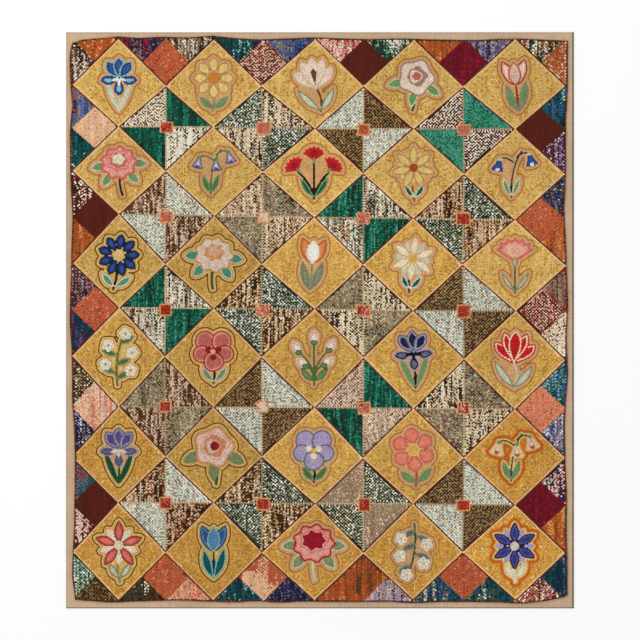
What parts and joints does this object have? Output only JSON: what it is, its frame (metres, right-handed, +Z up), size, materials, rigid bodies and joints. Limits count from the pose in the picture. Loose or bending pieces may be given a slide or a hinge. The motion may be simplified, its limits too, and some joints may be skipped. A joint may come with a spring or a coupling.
{
  "type": "hooked rug",
  "caption": "Hand-hooked wool rug with a lattice of flower diamonds and scrap-yarn pinwheels, sewn on a linen backing cloth.",
  "frame": {"origin": "middle of the underside of the linen backing cloth, on the surface it lies on", "axes": "+Z up out of the pile, +Y along the rug's long side towards the top of the pattern, +X to the right"},
  "size_m": [1.65, 1.872, 0.012],
  "materials": {
    "linen": "plain woven linen, matt",
    "wool_pile": "looped wool yarn, matt"
  },
  "bodies": {
    "root": {"linen_backing": "linen", "hooked_field": "wool_pile"}
  },
  "joints": []
}
